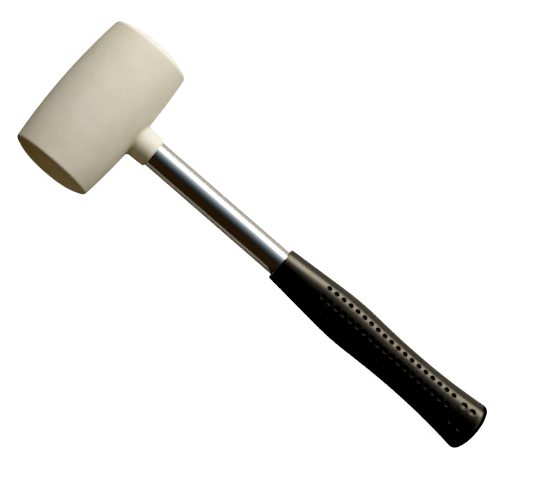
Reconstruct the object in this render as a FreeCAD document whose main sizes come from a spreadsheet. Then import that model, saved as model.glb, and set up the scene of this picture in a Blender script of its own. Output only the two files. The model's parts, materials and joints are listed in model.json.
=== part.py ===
"""Rubber mallet with a chromed tubular handle and a dimpled rubber grip, lying on its side.

Design frame, in which every sub-part is drawn: X runs along the handle from the head's axis to
the butt, Y runs along the head's axis, and Z completes the frame. All the sub-parts then share
one Placement, which lays the mallet down so that the belly of the head and the flare of the
grip both touch Z = 0, with the origin under the middle of its box.
"""
import FreeCAD
import Part
import Sketcher
import math
import os

Vector = FreeCAD.Vector

# Driving dimensions in millimetres, angles in degrees, and plain counts.
DIMENSIONS = [
    # Rubber head: a crowned barrel with a shouldered flat face at each end, and a collar.
    ("belly_radius", 30.5),
    ("corner_radius", 27.7),
    ("corner_offset", 47.5),
    ("half_length", 51.9),
    ("face_radius", 10.0),
    ("corner_break", 0.8),
    ("collar_root", 12.2),
    ("collar_radius", 10.4),
    ("collar_reach", 43.4),
    ("collar_rounding", 1.0),
    ("overcut", 1.0),
    # Handle tube: its flared top end is moulded into the head, which is closed over it.
    ("tube_radius", 9.0),
    ("tube_wall", 1.2),
    ("tube_top", 20.0),
    ("tube_bottom", 295.0),
    ("flare_depth", 6.0),
    ("flare_radius", 10.4),
    # Hardwood dowel that fills the top of the tube.
    ("dowel_reach", 38.0),
    ("dowel_chamfer", 1.0),
    # Plastic plug in the lower end of the tube.
    ("plug_flange", 2.0),
    ("plug_reach", 14.0),
    ("plug_wall", 1.6),
    # Rubber grip: a straight taper, a palm swell, a waist and a flared butt.
    ("grip_top", 146.8),
    ("rim_radius", 11.4),
    ("rim_rounding", 0.7),
    ("swell_place", 203.0),
    ("swell_radius", 15.1),
    ("swell_bend", 200.0),
    ("waist_place", 250.0),
    ("waist_radius", 13.7),
    ("flare_bend", 425.0),
    ("flare_place", 303.7),
    ("butt_end", 308.1),
    ("butt_flat", 3.0),
    ("butt_rounding", 3.0),
    # Dimples: rows of small finger dimples and pairs of large ones, on two opposite panels.
    ("finger_radius", 1.6),
    ("finger_depth", 1.3),
    ("finger_start", 179.4),
    ("finger_pitch", 5.65),
    ("finger_count", 19),
    ("finger_spread", 30.0),
    ("butt_dimple_radius", 2.25),
    ("butt_dimple_depth", 1.1),
    ("butt_dimple_start", 290.0),
    ("butt_dimple_pitch", 6.5),
    ("butt_dimple_count", 2),
    ("butt_dimple_spread", 25.0),
]

# Names for the ids that a sketch uses: its own origin and axes, and the points of a curve.
ROOT = (-1, 1)
H_AXIS = -1
V_AXIS = -2
START = 1
END = 2
CENTRE = 3

# A sketch axis as a reference for a revolution.
AROUND_X = "H_Axis"
AROUND_Y = "V_Axis"

# The middle lines of the grip's two dimpled panels, as turns about the handle from +Z.
PANELS = (0, 180)

# Millimetres within which two places count as the same.
SAME_PLACE = 0.01

# The search for the lying tilt: its steepest angle, and how often the range is halved.
STEEPEST_TILT = 10.0
HALVINGS = 30


def make_sheet(doc):
    sheet = doc.addObject("Spreadsheet::Sheet", "Dims")
    for row, (alias, value) in enumerate(DIMENSIONS, start=1):
        sheet.set("A%d" % row, alias)
        sheet.set("B%d" % row, str(value))
        sheet.setAlias("B%d" % row, alias)
    doc.recompute()
    return sheet


# --- sketching helpers ---------------------------------------------------------------------


def new_body(doc, label):
    body = doc.addObject("PartDesign::Body", label)
    body.Label = label
    return body


def new_sketch(body, name, role="XY_Plane"):
    sketch = body.newObject("Sketcher::SketchObject", name)
    plane = next(item for item in body.Origin.OriginFeatures if item.Role == role)
    sketch.AttachmentSupport = (plane, [""])
    sketch.MapMode = "FlatFace"
    return sketch


def constrain(sketch, kind, *places):
    sketch.addConstraint(Sketcher.Constraint(kind, *places))


def bind(sketch, kind, places, expression):
    """A dimension whose value is an expression of the sheet's cells."""
    value = float(sketch.evalExpression(expression))
    index = sketch.addConstraint(Sketcher.Constraint(kind, *places, value))
    sketch.setExpression("Constraints[%d]" % index, expression)


def add_line(sketch, start, end):
    return sketch.addGeometry(Part.LineSegment(Vector(*start), Vector(*end)), False)


def add_arc(sketch, start, middle, end):
    """Adds an arc; returns its id and which of its two ends lie at start and at end."""
    arc = Part.Arc(Vector(*start), Vector(*middle), Vector(*end))
    index = sketch.addGeometry(arc, False)
    forward = sketch.getPoint(index, START).distanceToPoint(Vector(*start)) < SAME_PLACE
    return (index, START, END) if forward else (index, END, START)


def polygon(sketch, corners):
    """A closed outline of straight lines.

    Each corner is a pair of expressions, its place along the sketch's two axes. Each is bound
    as a distance from the origin, on the side that its sign says.
    """
    values = [[float(sketch.evalExpression(text)) for text in corner] for corner in corners]
    count = len(corners)
    lines = [add_line(sketch, values[i], values[(i + 1) % count]) for i in range(count)]
    for i in range(count):
        constrain(sketch, "Coincident", lines[i], END, lines[(i + 1) % count], START)
        for kind, axis, text, value in zip(
            ("DistanceX", "DistanceY"), (V_AXIS, H_AXIS), corners[i], values[i]
        ):
            corner = (lines[i], START)
            if value > 0:
                bind(sketch, kind, (*ROOT, *corner), text)
            elif value < 0:
                bind(sketch, kind, (*corner, *ROOT), "-1 * (%s)" % text)
            else:
                constrain(sketch, "PointOnObject", *corner, axis)


def turn(body, name, sketch, axis, kind="PartDesign::Revolution"):
    """A full turn of the sketch: a Revolution adds material and a Groove removes it."""
    feature = body.newObject(kind, name)
    feature.Profile = sketch
    feature.ReferenceAxis = (sketch, [axis])
    feature.Angle = 360
    sketch.Visibility = False
    return feature


def turned_polygon(body, name, corners, kind="PartDesign::Revolution"):
    sketch = new_sketch(body, name + "_sketch")
    polygon(sketch, corners)
    return turn(body, name, sketch, AROUND_X, kind)


def round_edges(body, name, base, wanted, radius):
    """A Fillet on every edge of base for which wanted(edge) is true."""
    body.Document.recompute()
    edges = enumerate(base.Shape.Edges, start=1)
    feature = body.newObject("PartDesign::Fillet", name)
    feature.Base = (base, ["Edge%d" % i for i, edge in edges if wanted(edge)])
    feature.setExpression("Radius", radius)
    return feature


def is_circle(edge, axis, place, radius):
    """Whether an edge is a circle about the named axis, at that place along it."""
    if not isinstance(edge.Curve, Part.Circle):
        return False
    centre = getattr(edge.Curve.Center, axis)
    return abs(centre - place) < SAME_PLACE and abs(edge.Curve.Radius - radius) < SAME_PLACE


def middle_of_arc(start, end, heading):
    """The middle of the arc from start to end that sets out in the direction heading."""
    chord = end - start
    sideways = heading - chord * (heading.dot(chord) / chord.dot(chord))
    sagitta = chord.Length / 2 * math.tan(chord.getAngle(heading) / 2)
    return start + chord * 0.5 + sideways.normalize() * sagitta


# --- rubber head ---------------------------------------------------------------------------


def head_outline(sketch, dims):
    """Half of the barrel's section, to be turned about its own axis."""
    flat = (dims.face_radius, dims.half_length)
    corner = (dims.corner_radius, dims.corner_offset)
    middle = middle_of_arc(Vector(*flat), Vector(*corner), Vector(1, 0))

    lower_face = add_line(sketch, (0, -flat[1]), (flat[0], -flat[1]))
    lower = add_arc(sketch, (flat[0], -flat[1]), (middle.x, -middle.y), (corner[0], -corner[1]))
    crown = add_arc(sketch, (corner[0], -corner[1]), (dims.belly_radius, 0), corner)
    upper = add_arc(sketch, corner, (middle.x, middle.y), flat)
    upper_face = add_line(sketch, flat, (0, flat[1]))
    axis = add_line(sketch, (0, flat[1]), (0, -flat[1]))

    constrain(sketch, "Tangent", lower_face, END, lower[0], lower[1])
    constrain(sketch, "Coincident", lower[0], lower[2], crown[0], crown[1])
    constrain(sketch, "Coincident", crown[0], crown[2], upper[0], upper[1])
    constrain(sketch, "Tangent", upper[0], upper[2], upper_face, START)
    constrain(sketch, "Coincident", upper_face, END, axis, START)
    constrain(sketch, "Coincident", axis, END, lower_face, START)
    constrain(sketch, "PointOnObject", lower_face, START, V_AXIS)
    constrain(sketch, "PointOnObject", upper_face, END, V_AXIS)
    constrain(sketch, "Horizontal", lower_face)
    constrain(sketch, "Horizontal", upper_face)
    constrain(sketch, "Symmetric", lower_face, END, upper_face, START, H_AXIS)
    constrain(sketch, "Vertical", crown[0], crown[1], crown[0], crown[2])
    constrain(sketch, "PointOnObject", crown[0], CENTRE, H_AXIS)
    bind(sketch, "DistanceX", (*ROOT, upper_face, START), "Dims.face_radius")
    bind(sketch, "DistanceY", (*ROOT, upper_face, START), "Dims.half_length")
    bind(sketch, "DistanceX", (*ROOT, crown[0], crown[2]), "Dims.corner_radius")
    bind(sketch, "DistanceY", (*ROOT, crown[0], crown[2]), "Dims.corner_offset")
    sag = "(Dims.belly_radius - Dims.corner_radius)"
    bind(sketch, "Radius", (crown[0],), "(%s^2 + Dims.corner_offset^2) / (2 * %s)" % (sag, sag))


def make_head(doc, dims):
    body = new_body(doc, "rubber_head")
    sketch = new_sketch(body, "barrel_sketch")
    head_outline(sketch, dims)
    barrel = turn(body, "barrel", sketch, AROUND_Y)
    round_edges(
        body,
        "barrel_corners",
        barrel,
        lambda edge: any(
            is_circle(edge, "y", side * dims.corner_offset, dims.corner_radius) for side in (-1, 1)
        ),
        "Dims.corner_break",
    )
    collar = turned_polygon(
        body,
        "collar",
        [
            ("0", "0"),
            ("0", "Dims.collar_root"),
            ("Dims.collar_reach", "Dims.collar_radius"),
            ("Dims.collar_reach", "0"),
        ],
    )
    round_edges(
        body,
        "collar_edge",
        collar,
        lambda edge: is_circle(edge, "x", dims.collar_reach, dims.collar_radius),
        "Dims.collar_rounding",
    )
    turned_polygon(
        body,
        "handle_socket",
        [
            ("-Dims.tube_top", "0"),
            ("-Dims.tube_top", "Dims.flare_radius"),
            ("-Dims.tube_top + Dims.flare_depth", "Dims.tube_radius"),
            ("Dims.collar_reach + Dims.overcut", "Dims.tube_radius"),
            ("Dims.collar_reach + Dims.overcut", "0"),
        ],
        "PartDesign::Groove",
    )
    return body


# --- tube, dowel and plug ------------------------------------------------------------------


def make_tube(doc):
    body = new_body(doc, "handle_tube")
    turned_polygon(
        body,
        "flared_tube",
        [
            ("-Dims.tube_top", "Dims.flare_radius - Dims.tube_wall"),
            ("-Dims.tube_top", "Dims.flare_radius"),
            ("-Dims.tube_top + Dims.flare_depth", "Dims.tube_radius"),
            ("Dims.tube_bottom", "Dims.tube_radius"),
            ("Dims.tube_bottom", "Dims.tube_radius - Dims.tube_wall"),
            ("-Dims.tube_top + Dims.flare_depth", "Dims.tube_radius - Dims.tube_wall"),
        ],
    )
    return body


def make_dowel(doc):
    body = new_body(doc, "core_dowel")
    turned_polygon(
        body,
        "plug_of_wood",
        [
            ("-Dims.tube_top", "0"),
            ("-Dims.tube_top", "Dims.flare_radius - Dims.tube_wall"),
            ("-Dims.tube_top + Dims.flare_depth", "Dims.tube_radius - Dims.tube_wall"),
            ("Dims.dowel_reach - Dims.dowel_chamfer", "Dims.tube_radius - Dims.tube_wall"),
            ("Dims.dowel_reach", "Dims.tube_radius - Dims.tube_wall - Dims.dowel_chamfer"),
            ("Dims.dowel_reach", "0"),
        ],
    )
    return body


def make_plug(doc):
    body = new_body(doc, "tube_end_plug")
    inside = "Dims.tube_radius - Dims.tube_wall"
    turned_polygon(
        body,
        "hollow_plug",
        [
            ("Dims.tube_bottom - Dims.plug_reach", inside + " - Dims.plug_wall"),
            ("Dims.tube_bottom - Dims.plug_reach", inside),
            ("Dims.tube_bottom", inside),
            ("Dims.tube_bottom", "Dims.tube_radius"),
            ("Dims.tube_bottom + Dims.plug_flange", "Dims.tube_radius"),
            ("Dims.tube_bottom + Dims.plug_flange", "0"),
            ("Dims.tube_bottom", "0"),
            ("Dims.tube_bottom", inside + " - Dims.plug_wall"),
        ],
    )
    return body


# --- rubber grip ---------------------------------------------------------------------------


def grip_stations(dims):
    """Where the grip's outline changes from one curve to the next, all of them tangent."""
    swell = Vector(dims.swell_place, dims.swell_radius - dims.swell_bend)
    rim = Vector(dims.grip_top, dims.rim_radius)
    away = rim - swell
    leaning = math.atan2(away.y, away.x) - math.acos(dims.swell_bend / away.Length)
    taper_end = swell + Vector(math.cos(leaning), math.sin(leaning)) * dims.swell_bend

    drop = dims.swell_radius - dims.waist_radius
    run = dims.waist_place - dims.swell_place
    waist_bend = (run**2 + drop**2 - 2 * drop * dims.swell_bend) / (2 * drop)
    waist = Vector(dims.waist_place, dims.waist_radius + waist_bend)
    swell_end = swell + (waist - swell) * (dims.swell_bend / (dims.swell_bend + waist_bend))
    return taper_end, swell_end, waist_bend


def flared_end(dims):
    """Where the grip's flare ends and the rounding of its butt begins."""
    run = dims.flare_place - dims.waist_place
    rise = dims.flare_bend - math.sqrt(dims.flare_bend**2 - run**2)
    return Vector(dims.flare_place, dims.waist_radius + rise)


def arc_through(centre, start, end):
    """The middle of the shorter arc about centre from start to end."""
    middle = (start - centre).normalize() + (end - centre).normalize()
    return centre + middle.normalize() * (start - centre).Length


def grip_outline(sketch, dims):
    """Half of the grip's section, outside and bore, to be turned about the handle."""
    bore_end = dims.tube_bottom + dims.plug_flange
    taper_end, swell_end, waist_bend = grip_stations(dims)
    swell_centre = Vector(dims.swell_place, dims.swell_radius - dims.swell_bend)
    waist = Vector(dims.waist_place, dims.waist_radius)
    waist_centre = waist + Vector(0, waist_bend)
    flare_centre = waist + Vector(0, dims.flare_bend)
    flare = flared_end(dims)
    butt = Vector(dims.butt_end, dims.butt_flat)
    butt_middle = middle_of_arc(butt, flare, Vector(0, 1))

    rim = (dims.grip_top, dims.rim_radius)
    mouth = add_line(sketch, (dims.grip_top, dims.tube_radius), rim)
    taper = add_line(sketch, rim, taper_end)
    swell_arc = add_arc(
        sketch, taper_end, arc_through(swell_centre, taper_end, swell_end), swell_end
    )
    waist_arc = add_arc(sketch, swell_end, arc_through(waist_centre, swell_end, waist), waist)
    flare_arc = add_arc(sketch, waist, arc_through(flare_centre, waist, flare), flare)
    butt_arc = add_arc(sketch, flare, butt_middle, butt)
    flat = add_line(sketch, butt, (dims.butt_end, 0))
    axis = add_line(sketch, (dims.butt_end, 0), (bore_end, 0))
    floor = add_line(sketch, (bore_end, 0), (bore_end, dims.tube_radius))
    bore = add_line(sketch, (bore_end, dims.tube_radius), (dims.grip_top, dims.tube_radius))

    constrain(sketch, "Coincident", mouth, END, taper, START)
    constrain(sketch, "Tangent", taper, END, swell_arc[0], swell_arc[1])
    constrain(sketch, "Tangent", swell_arc[0], swell_arc[2], waist_arc[0], waist_arc[1])
    constrain(sketch, "Coincident", waist_arc[0], waist_arc[2], flare_arc[0], flare_arc[1])
    constrain(sketch, "Coincident", flare_arc[0], flare_arc[2], butt_arc[0], butt_arc[1])
    constrain(sketch, "Tangent", butt_arc[0], butt_arc[2], flat, START)
    for first, second in ((flat, axis), (axis, floor), (floor, bore), (bore, mouth)):
        constrain(sketch, "Coincident", first, END, second, START)
    for line in (mouth, flat, floor):
        constrain(sketch, "Vertical", line)
    constrain(sketch, "Horizontal", bore)
    constrain(sketch, "PointOnObject", axis, START, H_AXIS)
    constrain(sketch, "PointOnObject", axis, END, H_AXIS)

    bind(sketch, "DistanceX", (*ROOT, mouth, END), "Dims.grip_top")
    bind(sketch, "DistanceY", (*ROOT, mouth, END), "Dims.rim_radius")
    bind(sketch, "DistanceX", (*ROOT, swell_arc[0], CENTRE), "Dims.swell_place")
    bind(sketch, "DistanceY", (swell_arc[0], CENTRE, *ROOT), "Dims.swell_bend - Dims.swell_radius")
    bind(sketch, "Radius", (swell_arc[0],), "Dims.swell_bend")
    bind(sketch, "DistanceX", (*ROOT, waist_arc[0], waist_arc[2]), "Dims.waist_place")
    bind(sketch, "DistanceY", (*ROOT, waist_arc[0], waist_arc[2]), "Dims.waist_radius")
    bind(sketch, "DistanceX", (*ROOT, waist_arc[0], CENTRE), "Dims.waist_place")
    bind(sketch, "DistanceX", (*ROOT, flare_arc[0], CENTRE), "Dims.waist_place")
    bind(sketch, "Radius", (flare_arc[0],), "Dims.flare_bend")
    bind(sketch, "DistanceX", (*ROOT, flare_arc[0], flare_arc[2]), "Dims.flare_place")
    bind(sketch, "DistanceX", (*ROOT, flat, START), "Dims.butt_end")
    bind(sketch, "DistanceY", (*ROOT, flat, START), "Dims.butt_flat")
    bind(sketch, "DistanceX", (*ROOT, floor, START), "Dims.tube_bottom + Dims.plug_flange")
    bind(sketch, "DistanceY", (*ROOT, floor, END), "Dims.tube_radius")


def skin_radius(grip, place):
    """The grip's outer radius at a place along the handle."""
    ray = Part.makeLine(Vector(place, 0, 0), Vector(place, 0, 2 * grip.BoundBox.ZMax))
    return grip.common(ray).BoundBox.ZMax


def dimple(place, turned, skin, radius, depth):
    """A ball that leaves a round dimple of that radius and depth in the skin."""
    ball_radius = (radius**2 + depth**2) / (2 * depth)
    ball = Part.makeSphere(ball_radius, Vector(place, 0, skin - depth + ball_radius))
    ball.rotate(Vector(), Vector(1, 0, 0), turned)
    return ball


def dimple_balls(grip, dims):
    """Three rows of finger dimples and two pairs of butt dimples on each of the two panels."""
    kinds = (
        (dims.finger_start, dims.finger_pitch, int(dims.finger_count), (-1, 0, 1),
         dims.finger_spread, dims.finger_radius, dims.finger_depth),
        (dims.butt_dimple_start, dims.butt_dimple_pitch, int(dims.butt_dimple_count), (-1, 1),
         dims.butt_dimple_spread, dims.butt_dimple_radius, dims.butt_dimple_depth),
    )
    balls = []
    for start, pitch, count, rows, spread, radius, depth in kinds:
        for place in (start + pitch * i for i in range(count)):
            skin = skin_radius(grip, place)
            for panel in PANELS:
                for row in rows:
                    balls.append(dimple(place, panel + row * spread, skin, radius, depth))
    return balls


def make_grip(doc, dims):
    body = new_body(doc, "grip_blank")
    sketch = new_sketch(body, "grip_sketch")
    grip_outline(sketch, dims)
    sleeve = turn(body, "sleeve", sketch, AROUND_X)
    rim = round_edges(
        body,
        "rim_edge",
        sleeve,
        lambda edge: is_circle(edge, "x", dims.grip_top, dims.rim_radius),
        "Dims.rim_rounding",
    )
    flare = flared_end(dims)
    round_edges(
        body,
        "butt_edge",
        rim,
        lambda edge: is_circle(edge, "x", flare.x, flare.y),
        "Dims.butt_rounding",
    )
    doc.recompute()

    balls = doc.addObject("Part::Feature", "dimple_balls")
    balls.Shape = Part.makeCompound(dimple_balls(body.Shape, dims))
    grip = doc.addObject("Part::Cut", "grip_sleeve")
    grip.Label = "grip_sleeve"
    grip.Base = body
    grip.Tool = balls
    return grip


# --- assembly ------------------------------------------------------------------------------


def tilted(shape, tilt):
    copy = shape.copy()
    copy.rotate(Vector(), Vector(0, 1, 0), tilt)
    return copy.optimalBoundingBox(False)


def lying_placement(head, grip):
    """The pose in which the head and the grip both touch the floor, centred on the origin."""
    low = 0.0
    high = STEEPEST_TILT
    for _ in range(HALVINGS):
        tilt = (low + high) / 2
        if tilted(grip, tilt).ZMin > tilted(head, tilt).ZMin:
            low = tilt
        else:
            high = tilt
    whole = tilted(head, tilt)
    whole.add(tilted(grip, tilt))
    base = Vector(-(whole.XMin + whole.XMax) / 2, 0, -whole.ZMin)
    return FreeCAD.Placement(base, FreeCAD.Rotation(Vector(0, 1, 0), tilt))


def check(doc, parts):
    for item in doc.Objects:
        if "Invalid" in item.State or "Error" in item.State:
            raise RuntimeError("%s failed: %s" % (item.Label, item.State))
        if item.TypeId == "Sketcher::SketchObject" and item.solve() != 0:
            raise RuntimeError("%s isn't solved" % item.Label)
    for part in parts:
        shape = part.Shape
        if shape.isNull() or not shape.isValid() or len(shape.Solids) != 1:
            raise RuntimeError("%s isn't one valid solid" % part.Label)


def main():
    doc = FreeCAD.newDocument("rubber_mallet")
    dims = make_sheet(doc)
    head = make_head(doc, dims)
    grip = make_grip(doc, dims)
    parts = [head, make_tube(doc), make_dowel(doc), grip, make_plug(doc)]
    doc.recompute()
    placement = lying_placement(head.Shape, grip.Base.Shape)
    for part in parts:
        part.Placement = placement
    doc.recompute()
    check(doc, parts)

    os.makedirs("parts", exist_ok=True)
    for part in parts:
        part.Shape.exportStep(os.path.join("parts", part.Label + ".step"))
        box = part.Shape.BoundBox
        print("%-14s %8.2f cm3  X %.2f..%.2f  Y %.2f..%.2f  Z %.2f..%.2f" % (
            part.Label, part.Shape.Volume / 1000,
            box.XMin, box.XMax, box.YMin, box.YMax, box.ZMin, box.ZMax))
    print("tilt", math.degrees(placement.Rotation.Angle), "base", placement.Base)


main()
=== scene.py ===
"""Looks of the rubber mallet: fine meshes for the visible parts, procedural materials for all.

Pieces are drawn in the design frame of the part, in millimetres: X from the head's axis along
the handle, Y along the head's axis. The record's mounts say where that frame lies.
"""
import json
import math

import bmesh
import bpy
import numpy as np
from mathutils import Matrix, Vector


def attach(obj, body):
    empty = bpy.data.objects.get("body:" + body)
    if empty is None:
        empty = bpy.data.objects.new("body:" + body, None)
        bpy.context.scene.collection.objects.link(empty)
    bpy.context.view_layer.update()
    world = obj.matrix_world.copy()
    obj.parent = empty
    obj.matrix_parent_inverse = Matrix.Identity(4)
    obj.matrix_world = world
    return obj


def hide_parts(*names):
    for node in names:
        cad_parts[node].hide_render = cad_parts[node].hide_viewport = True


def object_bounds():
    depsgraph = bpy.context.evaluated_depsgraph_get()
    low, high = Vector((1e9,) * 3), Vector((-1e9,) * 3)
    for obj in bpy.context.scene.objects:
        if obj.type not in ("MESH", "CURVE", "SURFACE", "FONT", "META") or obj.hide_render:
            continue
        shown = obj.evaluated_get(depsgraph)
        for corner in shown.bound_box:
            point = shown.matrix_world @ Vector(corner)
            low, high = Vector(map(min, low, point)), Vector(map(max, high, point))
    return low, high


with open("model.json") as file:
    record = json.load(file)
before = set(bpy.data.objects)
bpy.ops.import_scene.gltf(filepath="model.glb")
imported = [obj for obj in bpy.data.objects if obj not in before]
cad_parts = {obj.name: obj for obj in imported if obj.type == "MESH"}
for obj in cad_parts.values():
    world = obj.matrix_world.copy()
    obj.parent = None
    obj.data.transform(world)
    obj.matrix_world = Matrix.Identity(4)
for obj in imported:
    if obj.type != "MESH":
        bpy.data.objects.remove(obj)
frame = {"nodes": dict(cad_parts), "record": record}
cad_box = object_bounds()

MM = 0.001

# Sizes of the part, in millimetres.
BELLY_RADIUS = 30.5
CORNER_RADIUS = 27.7
CORNER_OFFSET = 47.5
HALF_LENGTH = 51.9
FACE_RADIUS = 10.0
COLLAR_ROOT = 12.2
COLLAR_RADIUS = 10.4
COLLAR_REACH = 43.4
TUBE_RADIUS = 9.0
TUBE_WALL = 1.2
TUBE_TOP = 20.0
TUBE_BOTTOM = 295.0
TUBE_FLARE_DEPTH = 6.0
TUBE_FLARE_RADIUS = 10.4
PLUG_FLANGE = 2.0
GRIP_TOP = 146.8
RIM_RADIUS = 11.4
RIM_ROUNDING = 0.7
SWELL_PLACE = 203.0
SWELL_RADIUS = 15.1
SWELL_BEND = 200.0
WAIST_PLACE = 250.0
WAIST_RADIUS = 13.7
FLARE_BEND = 425.0
FLARE_PLACE = 303.7
BUTT_END = 308.1
BUTT_FLAT = 3.0
FINGER_RADIUS = 1.6
FINGER_DEPTH = 1.3
FINGER_START = 179.4
FINGER_PITCH = 5.65
FINGER_COUNT = 19
FINGER_SPREAD = math.radians(30.0)
BUTT_DIMPLE_RADIUS = 2.25
BUTT_DIMPLE_DEPTH = 1.1
BUTT_DIMPLE_START = 290.0
BUTT_DIMPLE_PITCH = 6.5
BUTT_DIMPLE_COUNT = 2
BUTT_DIMPLE_SPREAD = math.radians(25.0)


# --- the design frame ----------------------------------------------------------------------


def design_frame():
    """The design frame as a matrix from its millimetres to the row frame's metres."""
    mounts = {mount["name"]: mount for mount in frame["record"]["mounts"]}
    front = Vector(mounts["striking_face_front"]["pos_m"])
    rear = Vector(mounts["striking_face_rear"]["pos_m"])
    along = Vector(mounts["shaft_clip_zone"]["axis"]).normalized()
    across = (rear - front).normalized()
    turned = Matrix((along, across, along.cross(across))).transposed().to_4x4()
    return Matrix.Translation((front + rear) / 2) @ turned @ Matrix.Scale(MM, 4)


DESIGN = design_frame()


def transformed(matrix, points):
    """Rows of points moved by a matrix."""
    matrix = np.array(matrix)
    return points @ matrix[:3, :3].T + matrix[:3, 3]


# --- mesh helpers --------------------------------------------------------------------------

MERGE_DISTANCE = 0.001


def read_points(mesh):
    points = np.empty(len(mesh.vertices) * 3)
    mesh.vertices.foreach_get("co", points)
    return points.reshape(-1, 3)


def write_points(mesh, points):
    mesh.vertices.foreach_set("co", points.astype(np.float32).ravel())
    mesh.update()


def place_piece(name, mesh, material, node):
    """Adds a smooth piece that stands in for a CAD node of the one rigid body."""
    piece = bpy.data.objects.new(name, mesh)
    bpy.context.scene.collection.objects.link(piece)
    mesh.materials.clear()
    mesh.materials.append(material)
    mesh.polygons.foreach_set("use_smooth", [True] * len(mesh.polygons))
    mesh.update()
    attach(piece, "root")
    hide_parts(node)


def remeshed(node, voxel):
    """A new mesh of even small quads over the surface of a CAD node."""
    source = bpy.data.objects.new(node + "_source", frame["nodes"][node].data.copy())
    bpy.context.scene.collection.objects.link(source)
    modifier = source.modifiers.new("remesh", "REMESH")
    modifier.mode = "VOXEL"
    modifier.voxel_size = voxel * MM
    depsgraph = bpy.context.evaluated_depsgraph_get()
    mesh = bpy.data.meshes.new_from_object(source.evaluated_get(depsgraph))
    bpy.data.objects.remove(source)
    return mesh


def lathe(name, points):
    """A mesh over a grid of points, ring by ring round the handle; doubled points are merged."""
    rings, count = points.shape[:2]
    faces = []
    for i in range(rings - 1):
        for j in range(count):
            after = (j + 1) % count
            low = i * count
            high = low + count
            faces.append((low + j, low + after, high + after, high + j))
    mesh = bpy.data.meshes.new(name)
    mesh.from_pydata(points.reshape(-1, 3).tolist(), [], faces)
    shape = bmesh.new()
    shape.from_mesh(mesh)
    bmesh.ops.remove_doubles(shape, verts=shape.verts, dist=MERGE_DISTANCE)
    bmesh.ops.recalc_face_normals(shape, faces=shape.faces)
    shape.to_mesh(mesh)
    shape.free()
    write_points(mesh, transformed(DESIGN, read_points(mesh)))
    return mesh


def ring_points(rings, angles, radius=None):
    """The grid of points of rings given as (place, radius), at angles from +Z towards -Y."""
    rings = np.array(rings)
    place, angle = np.meshgrid(rings[:, 0], angles, indexing="ij")
    if radius is None:
        radius = np.repeat(rings[:, 1:], len(angles), axis=1)
    return np.stack((place, -radius * np.sin(angle), radius * np.cos(angle)), axis=-1)


def ramp(value, start, stop):
    """From 0 at start to 1 at stop, evenly, and held at both ends."""
    return np.clip((value - start) / (stop - start), 0.0, 1.0)


def smooth_max(a, b, width):
    """The larger of two distances, with the corner between them rounded over that width."""
    blend = np.maximum(width - np.abs(a - b), 0.0)
    return np.maximum(a, b) + blend**2 / (4 * width)


def settle(points, distance, rounds=6, step=0.02, least=0.25):
    """Moves points onto the surface where distance(points) is zero.

    Where the slope of the distance is slight, least keeps a point from being thrown far.
    """
    for _ in range(rounds):
        value = distance(points)
        slope = np.empty_like(points)
        for axis in range(3):
            shift = np.zeros(3)
            shift[axis] = step
            slope[:, axis] = (distance(points + shift) - distance(points - shift)) / (2 * step)
        length = np.maximum((slope**2).sum(1), least)
        points = points - slope * (value / length)[:, None]
    return points


# --- rubber head ---------------------------------------------------------------------------

# Widths of the soft corners and fillets of the moulding, in millimetres.
SOFT_CORNER = 1.1
SOFT_ROOT = 2.0
SOFT_MOUTH = 1.6
HEAD_VOXEL = 0.6


def barrel_distance(points):
    """Distance outside the crowned barrel with its domed faces."""
    radius = np.hypot(points[:, 0], points[:, 2])
    height = np.abs(points[:, 1])
    sag = BELLY_RADIUS - CORNER_RADIUS
    crown_bend = (sag**2 + CORNER_OFFSET**2) / (2 * sag)
    flank = np.hypot(radius + crown_bend - BELLY_RADIUS, height) - crown_bend
    run = CORNER_RADIUS - FACE_RADIUS
    fall = HALF_LENGTH - CORNER_OFFSET
    bend = (run**2 + fall**2) / (2 * fall)
    outside_flat = np.maximum(radius - FACE_RADIUS, 0.0)
    above_bend = np.maximum(height - HALF_LENGTH + bend, 0.0)
    shoulder = np.hypot(outside_flat, above_bend) - bend
    return smooth_max(flank, shoulder, SOFT_CORNER)


def socket_distance(points):
    """Distance outside the socket, which holds the flared end of the tube."""
    radius = np.hypot(points[:, 1], points[:, 2])
    depth = ramp(points[:, 0], -TUBE_TOP + TUBE_FLARE_DEPTH, -TUBE_TOP)
    side = radius - TUBE_RADIUS - depth * (TUBE_FLARE_RADIUS - TUBE_RADIUS)
    return np.maximum(side, -TUBE_TOP - points[:, 0])


def head_distance(points):
    """Distance outside the barrel and its collar, less the socket."""
    radius = np.hypot(points[:, 1], points[:, 2])
    taper = (COLLAR_ROOT - COLLAR_RADIUS) / COLLAR_REACH
    side = (radius - COLLAR_ROOT + taper * points[:, 0]) / math.hypot(1, taper)
    collar = smooth_max(side, points[:, 0] - COLLAR_REACH, SOFT_MOUTH)
    collar = np.where(points[:, 0] > 0, collar, BELLY_RADIUS)
    body = -smooth_max(-barrel_distance(points), -collar, SOFT_ROOT)
    return np.maximum(body, -socket_distance(points))


def make_head(material):
    """The head: small quads over the CAD solid, moved onto the softly cornered shape."""
    mesh = remeshed("rubber_head", HEAD_VOXEL)
    points = transformed(DESIGN.inverted(), read_points(mesh))
    write_points(mesh, transformed(DESIGN, settle(points, head_distance)))
    place_piece("head_of_rubber", mesh, material, "rubber_head")


# --- chromed tube --------------------------------------------------------------------------

TUBE_RINGS = 60
TUBE_SIDES = 256
TUBE_SHARP = math.radians(40.0)


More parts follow.
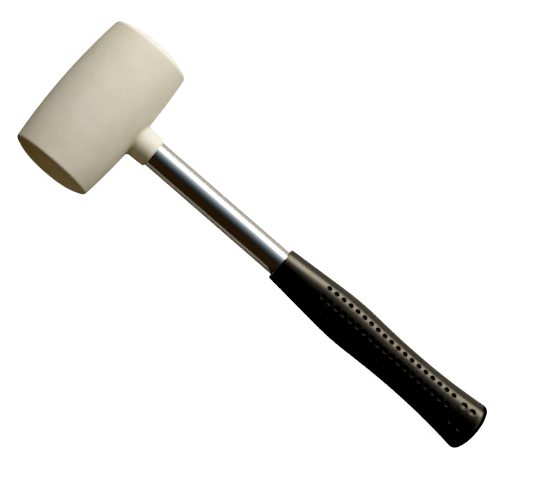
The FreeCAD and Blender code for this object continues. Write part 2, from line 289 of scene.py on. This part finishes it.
def make_tube(material):
    """The thin tube, open at both ends, with its flared upper end inside the head."""
    inner = TUBE_RADIUS - TUBE_WALL
    flare_end = -TUBE_TOP + TUBE_FLARE_DEPTH
    rings = [(-TUBE_TOP, TUBE_FLARE_RADIUS - TUBE_WALL), (-TUBE_TOP, TUBE_FLARE_RADIUS)]
    rings += [(x, TUBE_RADIUS) for x in np.linspace(flare_end, TUBE_BOTTOM, TUBE_RINGS)]
    rings += [(TUBE_BOTTOM, inner), (flare_end, inner), rings[0]]
    angles = np.linspace(0.0, 2 * math.pi, TUBE_SIDES, endpoint=False)
    mesh = lathe("tube_of_chrome", ring_points(rings, angles))
    place_piece("tube_of_chrome", mesh, material, "handle_tube")
    mesh.set_sharp_from_angle(angle=TUBE_SHARP)


# --- rubber grip ---------------------------------------------------------------------------

# Spacing of the grip's rings, in millimetres: wide above the dimples, narrow from there on. The
# wide ones keep clear of the rim and of the narrow ones. A short way gives the flare's direction.
PLAIN_STEP = 1.2
DIMPLED_STEP = 0.32
RIM_CLEARANCE = 1.5
DIMPLED_FROM = FINGER_START - 2.8
PLAIN_CLEARANCE = 0.2
SHORT_WAY = 0.1
ROUNDING_STEPS = 6
ARC_STEPS = 30
# The flare and the domed butt meet in a soft corner: it leaves the flare this many millimetres
# before its end, and arrives this many steps along the dome.
BUTT_SOFTNESS = 3.6
BUTT_SOFT_STEPS = 7
BUTT_CORNER_STEPS = 14
# The rings' points are close together over each panel, which reaches this far each way.
FINE_HALF_ANGLE = math.radians(38.0)
FINE_ANGLE = math.radians(1.15)
COARSE_ANGLE = math.radians(2.4)
# The skin stands proud in a lip round each dimple, in shares of the dimple's radius.
LIP_HEIGHT = 0.02
LIP_PLACE = 1.12
LIP_WIDTH = 0.16
# The painted shade inside a finger dimple, where its gloss is turned down, fades out over this
# ring, in shares of its radius.
DIMPLE_SHADE_INSIDE = 0.96
DIMPLE_SHADE_END = 1.16
# The dimpled panels lie a little low, from full at the middle line to none at the half angle.
PANEL_HALF_ANGLE = math.radians(50.0)
PANEL_DROP = 0.7
PANEL_START = GRIP_TOP + 4.0
PANEL_FULL = GRIP_TOP + 36.0
PANEL_CHANGE_START = BUTT_DIMPLE_START - 12.0
PANEL_CHANGE_END = BUTT_DIMPLE_START + 8.0
PANEL_FLATTER_AT_BUTT = 0.9


def grip_radius(place):
    """The grip's outer radius at places between its rim and its flared end."""
    swell_centre = np.array((SWELL_PLACE, SWELL_RADIUS - SWELL_BEND))
    away = np.array((GRIP_TOP, RIM_RADIUS)) - swell_centre
    leaning = math.atan2(away[1], away[0]) - math.acos(SWELL_BEND / np.hypot(*away))
    taper_end = swell_centre + SWELL_BEND * np.array((math.cos(leaning), math.sin(leaning)))
    drop = SWELL_RADIUS - WAIST_RADIUS
    run = WAIST_PLACE - SWELL_PLACE
    waist_bend = (run**2 + drop**2 - 2 * drop * SWELL_BEND) / (2 * drop)
    swell_end = SWELL_PLACE + run * SWELL_BEND / (SWELL_BEND + waist_bend)

    def arc(centre, bend):
        return np.sqrt(np.maximum(bend**2 - (place - centre) ** 2, 0.0))

    slope = (taper_end[1] - RIM_RADIUS) / (taper_end[0] - GRIP_TOP)
    return np.select(
        [place < taper_end[0], place < swell_end, place < WAIST_PLACE],
        [
            RIM_RADIUS + slope * (place - GRIP_TOP),
            swell_centre[1] + arc(SWELL_PLACE, SWELL_BEND),
            WAIST_RADIUS + waist_bend - arc(WAIST_PLACE, waist_bend),
        ],
        WAIST_RADIUS + FLARE_BEND - arc(WAIST_PLACE, FLARE_BEND),
    )


def soft_corner(leaving, arriving, steps):
    """Points of a smooth curve between two lines, each given by the two points that end it."""
    a, b = (np.array(pair[-1]) for pair in (leaving, arriving))
    along, back = (np.array(pair[-1]) - np.array(pair[0]) for pair in (leaving, arriving))
    reach = np.linalg.solve(np.stack((along, -back), axis=1), b - a)[0]
    corner = a + reach * along
    return [
        tuple((1 - t) ** 2 * a + 2 * t * (1 - t) * corner + t**2 * b)
        for t in np.linspace(0, 1, steps)
    ]


def grip_rings():
    """Rings of the grip as (place, radius): those of the bore, and those of the outside."""

    def skin(places):
        return list(zip(places, grip_radius(places)))

    floor = TUBE_BOTTOM + PLUG_FLANGE
    bore = [(floor, 0.0)]
    bore += [(x, TUBE_RADIUS) for x in np.linspace(floor, GRIP_TOP, ARC_STEPS)]

    outside = [
        (GRIP_TOP + RIM_ROUNDING * (1 - math.cos(t)), RIM_RADIUS - RIM_ROUNDING * (1 - math.sin(t)))
        for t in np.linspace(0, math.pi / 2, ROUNDING_STEPS)
    ]
    corner_start = FLARE_PLACE - BUTT_SOFTNESS
    plain = (GRIP_TOP + RIM_CLEARANCE, DIMPLED_FROM - PLAIN_CLEARANCE)
    outside += skin(np.arange(*plain, PLAIN_STEP))
    outside += skin(np.arange(DIMPLED_FROM, corner_start, DIMPLED_STEP))

    run = float(grip_radius(np.array(FLARE_PLACE))) - BUTT_FLAT
    fall = BUTT_END - FLARE_PLACE
    bend = (run**2 + fall**2) / (2 * fall)
    dome = [
        (BUTT_END - bend * (1 - math.cos(t)), BUTT_FLAT + bend * math.sin(t))
        for t in np.linspace(math.asin(run / bend), 0.0, ARC_STEPS)
    ]
    leaving = skin(np.array([corner_start - SHORT_WAY, corner_start]))
    arriving = (dome[BUTT_SOFT_STEPS + 1], dome[BUTT_SOFT_STEPS])
    outside += soft_corner(leaving, arriving, BUTT_CORNER_STEPS)
    outside += dome[BUTT_SOFT_STEPS + 1:]
    outside += [(BUTT_END, BUTT_FLAT / 2), (BUTT_END, 0.0)]
    return bore, outside


def grip_angles():
    """Angles round the grip, close together where the dimples are."""
    fine = np.arange(-FINE_HALF_ANGLE, FINE_HALF_ANGLE, FINE_ANGLE)
    coarse = np.arange(FINE_HALF_ANGLE, math.pi - FINE_HALF_ANGLE, COARSE_ANGLE)
    half = np.concatenate((fine, coarse))
    return np.concatenate((half, half + math.pi))


def dimples():
    """Each dimple as (place, angle from the panel's middle line, radius, depth)."""
    places = [
        (FINGER_START + FINGER_PITCH * i, row * FINGER_SPREAD, FINGER_RADIUS, FINGER_DEPTH)
        for i in range(FINGER_COUNT)
        for row in (-1, 0, 1)
    ]
    places += [
        (
            BUTT_DIMPLE_START + BUTT_DIMPLE_PITCH * i,
            row * BUTT_DIMPLE_SPREAD,
            BUTT_DIMPLE_RADIUS,
            BUTT_DIMPLE_DEPTH,
        )
        for i in range(BUTT_DIMPLE_COUNT)
        for row in (-1, 1)
    ]
    return places


def folded(angle):
    """Angles from the nearer panel's middle line."""
    return (angle + math.pi / 2) % math.pi - math.pi / 2


def dimple_depth(place, angle, radius):
    """How far the skin is pressed in; just outside a dimple it stands slightly proud."""
    depth = np.zeros_like(place)
    for centre, turned, size, deep in dimples():
        off = np.hypot(place - centre, radius * (folded(angle) - turned))
        ball = (size**2 + deep**2) / (2 * deep)
        bowl = np.sqrt(np.maximum(ball**2 - off**2, 0.0)) - ball + deep
        lip = np.exp(-(((off / size - LIP_PLACE) / LIP_WIDTH) ** 2))
        depth += np.maximum(bowl, 0.0) - LIP_HEIGHT * lip
    return depth


def panel_drop(place, angle, radius):
    """How far the two dimpled panels lie below the round of the grip.

    Towards the butt the upper one gets flatter, and the lower one, which it lies on, stays round.
    """
    along = ramp(place, PANEL_START, PANEL_FULL)
    around = ramp(np.abs(folded(angle)), 0.0, PANEL_HALF_ANGLE)
    at_butt = ramp(place, PANEL_CHANGE_START, PANEL_CHANGE_END)
    deeper = 1 + at_butt * np.where(np.cos(angle) > 0, PANEL_FLATTER_AT_BUTT, -1.0)
    last = FLARE_PLACE - BUTT_SOFTNESS
    full = float(grip_radius(np.array(last)))
    share = np.where(place > last, (radius / full) ** 2, 1.0)
    drop = PANEL_DROP * along**2 * (3 - 2 * along) * deeper * share
    return drop * (1 + np.cos(math.pi * around)) / 2


def mark_dimple_shade(mesh):
    """Tells the material how far inside a finger dimple each point lies, from 0 to 1, for painted
    shade there.
    """
    points = transformed(DESIGN.inverted(), read_points(mesh))
    angle = np.arctan2(-points[:, 1], points[:, 2])
    radius = np.hypot(points[:, 1], points[:, 2])
    depth = np.zeros(len(points))
    for centre, turned, size, _ in dimples():
        if size == FINGER_RADIUS:
            off = np.hypot(points[:, 0] - centre, radius * (folded(angle) - turned)) / size
            depth = np.maximum(depth, ramp(off, DIMPLE_SHADE_END, DIMPLE_SHADE_INSIDE))
    mesh.attributes.new("dimple", "FLOAT", "POINT").data.foreach_set("value", depth)


def make_grip(material):
    """The grip with its dimples, closed at the butt."""
    bore, outside = grip_rings()
    angles = grip_angles()
    place, angle = np.meshgrid(np.array(outside)[:, 0], angles, indexing="ij")
    radius = np.repeat(np.array(outside)[:, 1:], len(angles), axis=1)
    pressed = panel_drop(place, angle, radius) + dimple_depth(place, angle, radius)
    skin = ring_points(outside, angles, radius - pressed)
    mesh = lathe("grip_of_rubber", np.concatenate((ring_points(bore, angles), skin)))
    mark_dimple_shade(mesh)
    place_piece("grip_of_rubber", mesh, material, "grip_sleeve")


# --- materials -----------------------------------------------------------------------------


class Shader:
    """Builds a node material: every value is a number, a colour or another node's output."""

    def __init__(self, name):
        self.material = bpy.data.materials.new(name)
        self.material.use_nodes = True
        self.tree = self.material.node_tree
        self.surface = self.tree.nodes["Principled BSDF"]
        self.place = self.design_place()

    def put(self, socket, value):
        if isinstance(value, bpy.types.NodeSocket):
            self.tree.links.new(value, socket)
        else:
            socket.default_value = value

    def add(self, kind, *values, output=0, **settings):
        """Adds a node whose first inputs take values, and returns one of its outputs."""
        node = self.tree.nodes.new(kind)
        for key, value in settings.items():
            setattr(node, key, value)
        for socket, value in zip(node.inputs, values):
            if value is not None:
                self.put(socket, value)
        return node.outputs[output]

    def set(self, **values):
        for key, value in values.items():
            self.put(self.surface.inputs[key.replace("_", " ")], value)

    def design_place(self):
        """Places on the piece in the design frame's millimetres."""
        where, turned, size = DESIGN.inverted().decompose()
        place = self.add("ShaderNodeTexCoord", output="Object")
        return self.add("ShaderNodeMapping", place, where, turned.to_euler(), size)

    def axes(self):
        split = self.add("ShaderNodeSeparateXYZ", self.place).node
        return split.outputs[0], split.outputs[1], split.outputs[2]

    def math(self, operation, *values):
        return self.add("ShaderNodeMath", *values, operation=operation)

    def ridge(self, value, core, end):
        """1 where a value is under core, either way of zero, and 0 from end on."""
        return self.spread(self.math("ABSOLUTE", value), core, end, 1.0, 0.0)

    def noise(self, scale, detail=3.0, rough=0.55, stretch=(1.0, 1.0, 1.0)):
        """Noise from 0 to 1 with that many cells per millimetre along each axis."""
        place = self.add("ShaderNodeVectorMath", self.place, stretch, operation="MULTIPLY")
        node = self.tree.nodes.new("ShaderNodeTexNoise")
        self.put(node.inputs["Vector"], place)
        self.put(node.inputs["Scale"], scale)
        self.put(node.inputs["Detail"], detail)
        self.put(node.inputs["Roughness"], rough)
        return node.outputs[0]

    def spread(self, value, low, high, new_low, new_high):
        """Maps a value from one range to another, held at the ends."""
        return self.add("ShaderNodeMapRange", value, low, high, new_low, new_high)

    def blend(self, share, first, second):
        """A mix of two colours."""
        node = self.tree.nodes.new("ShaderNodeMix")
        node.data_type = "RGBA"
        self.put(node.inputs["Factor"], share)
        for socket, value in ((node.inputs[6], first), (node.inputs[7], second)):
            self.put(socket, value if isinstance(value, bpy.types.NodeSocket) else (*value, 1.0))
        return node.outputs[2]

    def bump(self, height, distance, under=None):
        """A bump of that many millimetres for a height from 0 to 1."""
        node = self.tree.nodes.new("ShaderNodeBump")
        self.put(node.inputs["Height"], height)
        self.put(node.inputs["Distance"], distance * MM)
        if under is not None:
            self.put(node.inputs["Normal"], under)
        return node.outputs["Normal"]


def white_rubber():
    """Off-white moulded rubber: cloudy, faintly uneven, with a parting line, and soil and painted
    shade round the collar's root.
    """
    shader = Shader("white_rubber")
    x, y, z = shader.axes()
    cloud = shader.spread(shader.noise(0.07, 5.0, 0.62), 0.36, 0.64, 0.0, 1.0)
    speck = shader.spread(shader.noise(0.45, 4.0, 0.65), 0.35, 0.75, 0.0, 1.0)
    tint = shader.blend(cloud, (0.695, 0.665, 0.54), (0.765, 0.725, 0.63))
    tint = shader.blend(shader.math("MULTIPLY", speck, 0.4), tint, (0.67, 0.64, 0.50))

    # Soil and painted shade round the collar's root: a brown tint in the crease where the collar
    # meets the barrel.
    squares = [shader.math("POWER", side, 2.0) for side in (y, z)]
    off_axis = shader.math("SQRT", shader.math("ADD", *squares))
    root_soil_and_shade = shader.spread(off_axis, 12.4, 20.0, 0.3, 0.0)
    root_soil_and_shade = shader.math("MULTIPLY", root_soil_and_shade, shader.spread(x, 22.0, 26.0, 0.0, 1.0))
    root_soil_and_shade = shader.math("MULTIPLY", root_soil_and_shade, shader.spread(x, 29.5, 31.5, 1.0, 0.0))
    tint = shader.blend(root_soil_and_shade, tint, (0.42, 0.33, 0.17))

    normal = shader.bump(shader.noise(0.12, 2.0), 0.12)
    normal = shader.bump(shader.noise(2.2, 2.0, 0.6), 0.02, normal)
    normal = shader.bump(shader.ridge(z, 0.05, 0.3), 0.08, normal)
    shader.set(
        Base_Color=tint,
        Roughness=shader.spread(cloud, 0.0, 1.0, 0.56, 0.66),
        Specular_IOR_Level=0.4,
        Normal=normal,
    )
    return shader.material


def black_rubber():
    """Glossy black moulded rubber with a parting line, with painted shade inside the finger
    dimples, where the gloss is turned down.

    The gloss is a little less where a hand holds it.
    """
    shader = Shader("black_rubber")
    x, _, z = shader.axes()
    gloss = shader.spread(x, 160.0, 200.0, 0.46, 0.39)
    dimple = shader.add("ShaderNodeAttribute", output=2, attribute_name="dimple")
    cloud = shader.spread(shader.noise(0.08, 3.0), 0.3, 0.7, 0.0, 1.0)
    normal = shader.bump(shader.noise(2.6, 2.0, 0.6), 0.03)
    normal = shader.bump(shader.ridge(z, 0.05, 0.25), 0.06, normal)
    shader.set(
        Base_Color=shader.blend(cloud, (0.0012, 0.0011, 0.001), (0.0022, 0.002, 0.0018)),
        Roughness=shader.spread(cloud, 0.0, 1.0, 0.25, 0.30),
        # Painted shade: the gloss is turned down inside the finger dimples.
        Specular_IOR_Level=shader.spread(dimple, 0.0, 1.0, gloss, 0.07),
        Specular_Tint=shader.blend(cloud, (1.0, 0.93, 0.80), (1.0, 0.88, 0.66)),
        Normal=normal,
    )
    return shader.material


def chrome():
    """Bright plating over drawn tube, with faint lines along it."""
    shader = Shader("chromed_steel")
    lines = shader.noise(1.0, 3.0, 0.6, (0.012, 3.0, 3.0))
    smears = shader.noise(0.06, 3.0, 0.6)
    shader.set(
        Base_Color=(0.83, 0.84, 0.85, 1.0),
        Metallic=1.0,
        Roughness=shader.spread(smears, 0.3, 0.7, 0.05, 0.1),
        Normal=shader.bump(lines, 0.0012),
    )
    return shader.material


def hardwood():
    """Turned wood with its grain along the handle."""
    shader = Shader("hardwood")
    grain = shader.noise(1.0, 4.0, 0.6, (0.06, 1.2, 1.2))
    tint = shader.blend(grain, (0.30, 0.18, 0.09), (0.55, 0.37, 0.20))
    shader.set(Base_Color=tint, Roughness=0.7)
    return shader.material


def black_plastic():
    """Moulded plastic with a fine sparked grain."""
    shader = Shader("black_plastic")
    shader.set(
        Base_Color=(0.02, 0.02, 0.02, 1.0),
        Roughness=0.5,
        Normal=shader.bump(shader.noise(1.5), 0.02),
    )
    return shader.material


def dress(node, material):
    """Gives a CAD node a finer material."""
    mesh = frame["nodes"][node].data
    mesh.materials.clear()
    mesh.materials.append(material)


# --- stage and light -----------------------------------------------------------------------

# The table that the mallet mirrors, in metres. It ends towards -Y beside the head and the tube,
# nearer beside the grip, and just inside the head's top and the butt's end. Beyond it, the room
# is dark.
STAGE_SIZE = 12.0
TABLE_EDGE = -0.18
TABLE_EDGE_AT_GRIP = -0.012
TABLE_SHORT_OF_BUTT = 0.004
TABLE_UNDER_HEAD = 0.01
# The front part of the table is painted darker than the rear, as painted shade in front of the
# mallet.
REAR_TABLE = (0.38, 0.36, 0.31)
SHADED_FRONT_TABLE = (0.27, 0.25, 0.21)
# The white that the camera sees, and the soft shade near where the mallet touches the floor.
WHITE = 3.0
DOME_RADIUS = 0.95 * STAGE_SIZE
CONTACT_SHADE = 0.018
CONTACT_DARKEST = 0.1
CONTACT_SAMPLES = 16
# The curved lights lie about an axis along X. Their angles, in degrees, are from the zenith
# towards +Y, and their spans are along the axis, in metres.
LIGHT_CENTRE = Vector((-0.07, 0.0, 0.03))
LIGHT_DISTANCE = 2.0
MAIN_SPAN = (-1.33, 1.33)
SOFTBOX_FROM = 48.0
SOFTBOX_TO = 79.0
TABLE_ANGLE = 92.0
SPILL_END = -22.0
# Glowing stretches that only gloss mirrors, far enough along X to show from the corners and not
# from above.
FRONT_GLOW = (-80.0, -10.0)
FRONT_GLOW_SPAN = (-2.5, -1.2)
BACK_GLOW = (24.0, 80.0)
BACK_GLOW_SPAN = (1.33, 2.8)
END_GLOW = [(2.0, 0.2, 0.35), (2.0, 1.4, 0.35), (1.9, 1.4, 1.1), (1.9, 0.2, 1.1)]
WARM_PANEL = [(-0.6, -0.6, 0.0), (-0.6, -0.6, 0.4), (0.6, -0.6, 0.4), (0.6, -0.6, 0.0)]


def stage_piece(name, vertices, faces, **seen_by):
    """A piece of the studio, seen only by the kinds of ray that are named."""
    mesh = bpy.data.meshes.new(name)
    mesh.from_pydata(vertices, [], faces)
    piece = bpy.data.objects.new(name, mesh)
    bpy.context.scene.collection.objects.link(piece)
    for ray in ("camera", "diffuse", "glossy", "transmission", "volume_scatter", "shadow"):
        setattr(piece, "visible_" + ray, seen_by.get(ray, False))
    return piece


def glow(name, colour, strength):
    """A material that gives off light."""
    material = bpy.data.materials.new(name)
    material.use_nodes = True
    tree = material.node_tree
    tree.nodes.clear()
    output = tree.nodes.new("ShaderNodeOutputMaterial")
    light = tree.nodes.new("ShaderNodeEmission")
    light.inputs["Color"].default_value = (*colour, 1.0)
    light.inputs["Strength"].default_value = strength
    tree.links.new(light.outputs[0], output.inputs["Surface"])
    return material


def glowing_panel(name, corners, colour, strength, **seen_by):
    """A flat light with four corners."""
    panel = stage_piece(name, corners, [(0, 1, 2, 3)], **seen_by)
    panel.data.materials.append(glow(name, colour, strength))


def table_part(name, outline, colour):
    """A matt face of the table a millimetre under the floor, which the camera doesn't see."""
    corners = [(x, y, -MM) for x, y in outline]
    face = [tuple(range(len(corners)))]
    part = stage_piece(name, corners, face, diffuse=True, glossy=True, shadow=True)
    shader = Shader(name + "_paint")
    shader.set(Base_Color=(*colour, 1.0), Roughness=0.9)
    part.data.materials.append(shader.material)


def make_table():
    """A grey table, darker in front as painted shade, that lights the mallet and is mirrored in it.
    """
    start = cad_box[0][0] + TABLE_UNDER_HEAD
    step = (DESIGN @ Vector((GRIP_TOP, 0, 0))).x
    end = cad_box[1][0] - TABLE_SHORT_OF_BUTT
    outline = [(start, 0), (end, 0), (end, STAGE_SIZE), (start, STAGE_SIZE)]
    table_part("rear_table", outline, REAR_TABLE)
    outline = [(start, TABLE_EDGE), (step, TABLE_EDGE), (step, TABLE_EDGE_AT_GRIP)]
    outline += [(end, TABLE_EDGE_AT_GRIP), (end, 0), (start, 0)]
    table_part("front_table", outline, SHADED_FRONT_TABLE)


def floor_white():
    """The white of the floor, darker where the mallet is close."""
    material = glow("floor_white", (1, 1, 1), WHITE)
    tree = material.node_tree
    touch = tree.nodes.new("ShaderNodeAmbientOcclusion")
    touch.samples = CONTACT_SAMPLES
    touch.inputs["Distance"].default_value = CONTACT_SHADE
    bright = tree.nodes.new("ShaderNodeMapRange")
    bright.inputs["To Min"].default_value = WHITE * CONTACT_DARKEST
    bright.inputs["To Max"].default_value = WHITE
    tree.links.new(touch.outputs["AO"], bright.inputs["Value"])
    tree.links.new(bright.outputs[0], tree.nodes["Emission"].inputs["Strength"])
    return material


def make_backdrop():
    """The plain white floor and dome that the camera sees."""
    size = STAGE_SIZE
    corners = [(-size, -size, 0), (size, -size, 0), (size, size, 0), (-size, size, 0)]
    floor = stage_piece("floor", corners, [(0, 1, 2, 3)], camera=True)
    floor.data.materials.append(floor_white())

    shape = bmesh.new()
    bmesh.ops.create_uvsphere(shape, u_segments=32, v_segments=16, radius=DOME_RADIUS)
    dome = stage_piece("dome", [], [], camera=True)
    shape.to_mesh(dome.data)
    shape.free()
    dome.data.materials.append(glow("dome_white", (1, 1, 1), WHITE))


def light_strips(name, ends, steps, look, span=MAIN_SPAN, diffuse=True):
    """A curved light in strips; look gives the colour and strength at an angle."""
    start, stop = ends
    vertices = []
    for angle in np.radians(np.linspace(start, stop, steps + 1)):
        out = Vector((0, math.sin(angle), math.cos(angle))) * LIGHT_DISTANCE
        for side in span:
            vertices.append(LIGHT_CENTRE + out + Vector((side, 0, 0)))
    faces = [(2 * i, 2 * i + 1, 2 * i + 3, 2 * i + 2) for i in range(steps)]
    panel = stage_piece(name, vertices, faces, diffuse=diffuse, glossy=True)
    for i in range(steps):
        colour, strength = look(start + (stop - start) * (i + 0.5) / steps)
        panel.data.materials.append(glow("%s_%02d" % (name, i), colour, strength))
        panel.data.polygons[i].material_index = i


def even(colour, strength):
    """The look of a light that is the same at every angle."""
    return lambda angle: (colour, strength)


def edge_look(angle):
    """The softbox's spill: it fades and turns bluish towards and past the zenith."""
    warmth = min(max((angle - 20.0) / 27.0, 0.0), 1.0)
    colour = (0.76 + 0.14 * warmth, 0.91 + 0.05 * warmth, 1.0)
    return colour, 0.69 * math.exp(0.064 * (angle - 37.0))


def low_look(angle):
    """Below the softbox the glow falls to the brightness of the table at its far end."""
    share = (TABLE_ANGLE - angle) / (TABLE_ANGLE - SOFTBOX_TO)
    return (1.0, 0.96, 0.86), 0.36 + 0.6 * share**3


def bulge(ends, colour, strength, reach):
    """The look of a light that is brightest in its middle and soft at its ends.

    The strength falls as the square of a cosine, to its value at reach degrees.
    """
    middle = (ends[0] + ends[1]) / 2
    half = (ends[1] - ends[0]) / 2

    def look(angle):
        return colour, strength * math.cos(math.radians((angle - middle) / half * reach)) ** 2

    return look


def make_lights():
    softbox = even((1.0, 0.935, 0.81), 9.5)
    light_strips("softbox", (SOFTBOX_FROM, SOFTBOX_TO), 4, softbox)
    light_strips("low_spill", (SOFTBOX_TO, TABLE_ANGLE), 6, low_look)
    light_strips("softbox_spill", (SPILL_END, SOFTBOX_FROM), 24, edge_look)
    light_strips("dark_room", (-100.0, SPILL_END), 1, even((1.0, 0.63, 0.38), 0.0228))
    front = bulge(FRONT_GLOW, (0.92, 0.96, 1.0), 1.6, 80.0)
    light_strips("front_glow", FRONT_GLOW, 14, front, FRONT_GLOW_SPAN, diffuse=False)
    back = bulge(BACK_GLOW, (1.0, 0.95, 0.86), 2.6, 75.0)
    light_strips("back_glow", BACK_GLOW, 14, back, BACK_GLOW_SPAN, diffuse=False)
    # A low panel past the butt, for gloss, and a warm one that lights the front striking face
    # and the undersides.
    glowing_panel("end_glow", END_GLOW, (1.0, 0.97, 0.92), 1.1, glossy=True)
    glowing_panel("warm_panel", WARM_PANEL, (1.0, 0.67, 0.20), 0.30, diffuse=True)
    world = bpy.data.worlds.new("dark_room")
    world.use_nodes = True
    world.node_tree.nodes["Background"].inputs["Color"].default_value = (0.0, 0.0, 0.0, 1.0)
    bpy.context.scene.world = world


# --- camera --------------------------------------------------------------------------------

# It looks down on the lying mallet through a long lens, so that perspective is weak.
IMAGE_WIDTH = 541
MM_PER_PIXEL = 0.62
LENS = 200.0
SENSOR = 36.0
ROLL = math.radians(41.0)
AIM_ALONG = 135.8
AIM_ACROSS = 3.58
LEAN_TO_FACE = math.radians(8.0)
LEAN_TO_TOP = math.radians(3.2)


def make_camera():
    """The camera, rolled so that the handle runs down to the right."""
    rotation = DESIGN.to_3x3().normalized()
    back = rotation @ Vector((-math.tan(LEAN_TO_TOP), -math.tan(LEAN_TO_FACE), 1)).normalized()
    along = rotation @ Vector((1, 0, 0))
    level = (along - along.dot(back) * back).normalized()
    right = level * math.cos(ROLL) + back.cross(level) * math.sin(ROLL)
    turned = Matrix((right, back.cross(right), back)).transposed().to_4x4()
    distance = LENS * IMAGE_WIDTH * MM_PER_PIXEL * MM / SENSOR

    data = bpy.data.cameras.new("camera")
    data.lens = LENS
    data.sensor_width = SENSOR
    data.clip_end = 50.0
    camera = bpy.data.objects.new("camera", data)
    bpy.context.scene.collection.objects.link(camera)
    aim = DESIGN @ Vector((AIM_ALONG, AIM_ACROSS, 0))
    camera.matrix_world = Matrix.Translation(aim + back * distance) @ turned
    bpy.context.scene.camera = camera


# Scene light against shown light: highlights roll off softly and the deepest shade is black.
FULL_WHITE = 2.0
FULL_BLACK = 0.006
TONES = [(0.0, 0.0), (0.30, 0.60), (0.5, 0.83), (0.7, 0.93), (1.0, 1.0)]


def make_tones():
    view = bpy.context.scene.view_settings
    view.view_transform = "Standard"
    view.use_curve_mapping = True
    mapping = view.curve_mapping
    mapping.white_level = (FULL_WHITE,) * 3
    mapping.black_level = (FULL_BLACK,) * 3
    curve = mapping.curves[3]
    for tone in TONES[len(curve.points):]:
        curve.points.new(*tone)
    for point, tone in zip(curve.points, TONES):
        point.location = tone
    mapping.update()


make_head(white_rubber())
make_tube(chrome())
make_grip(black_rubber())
dress("core_dowel", hardwood())
dress("tube_end_plug", black_plastic())
make_table()
make_backdrop()
make_lights()
make_camera()
make_tones()
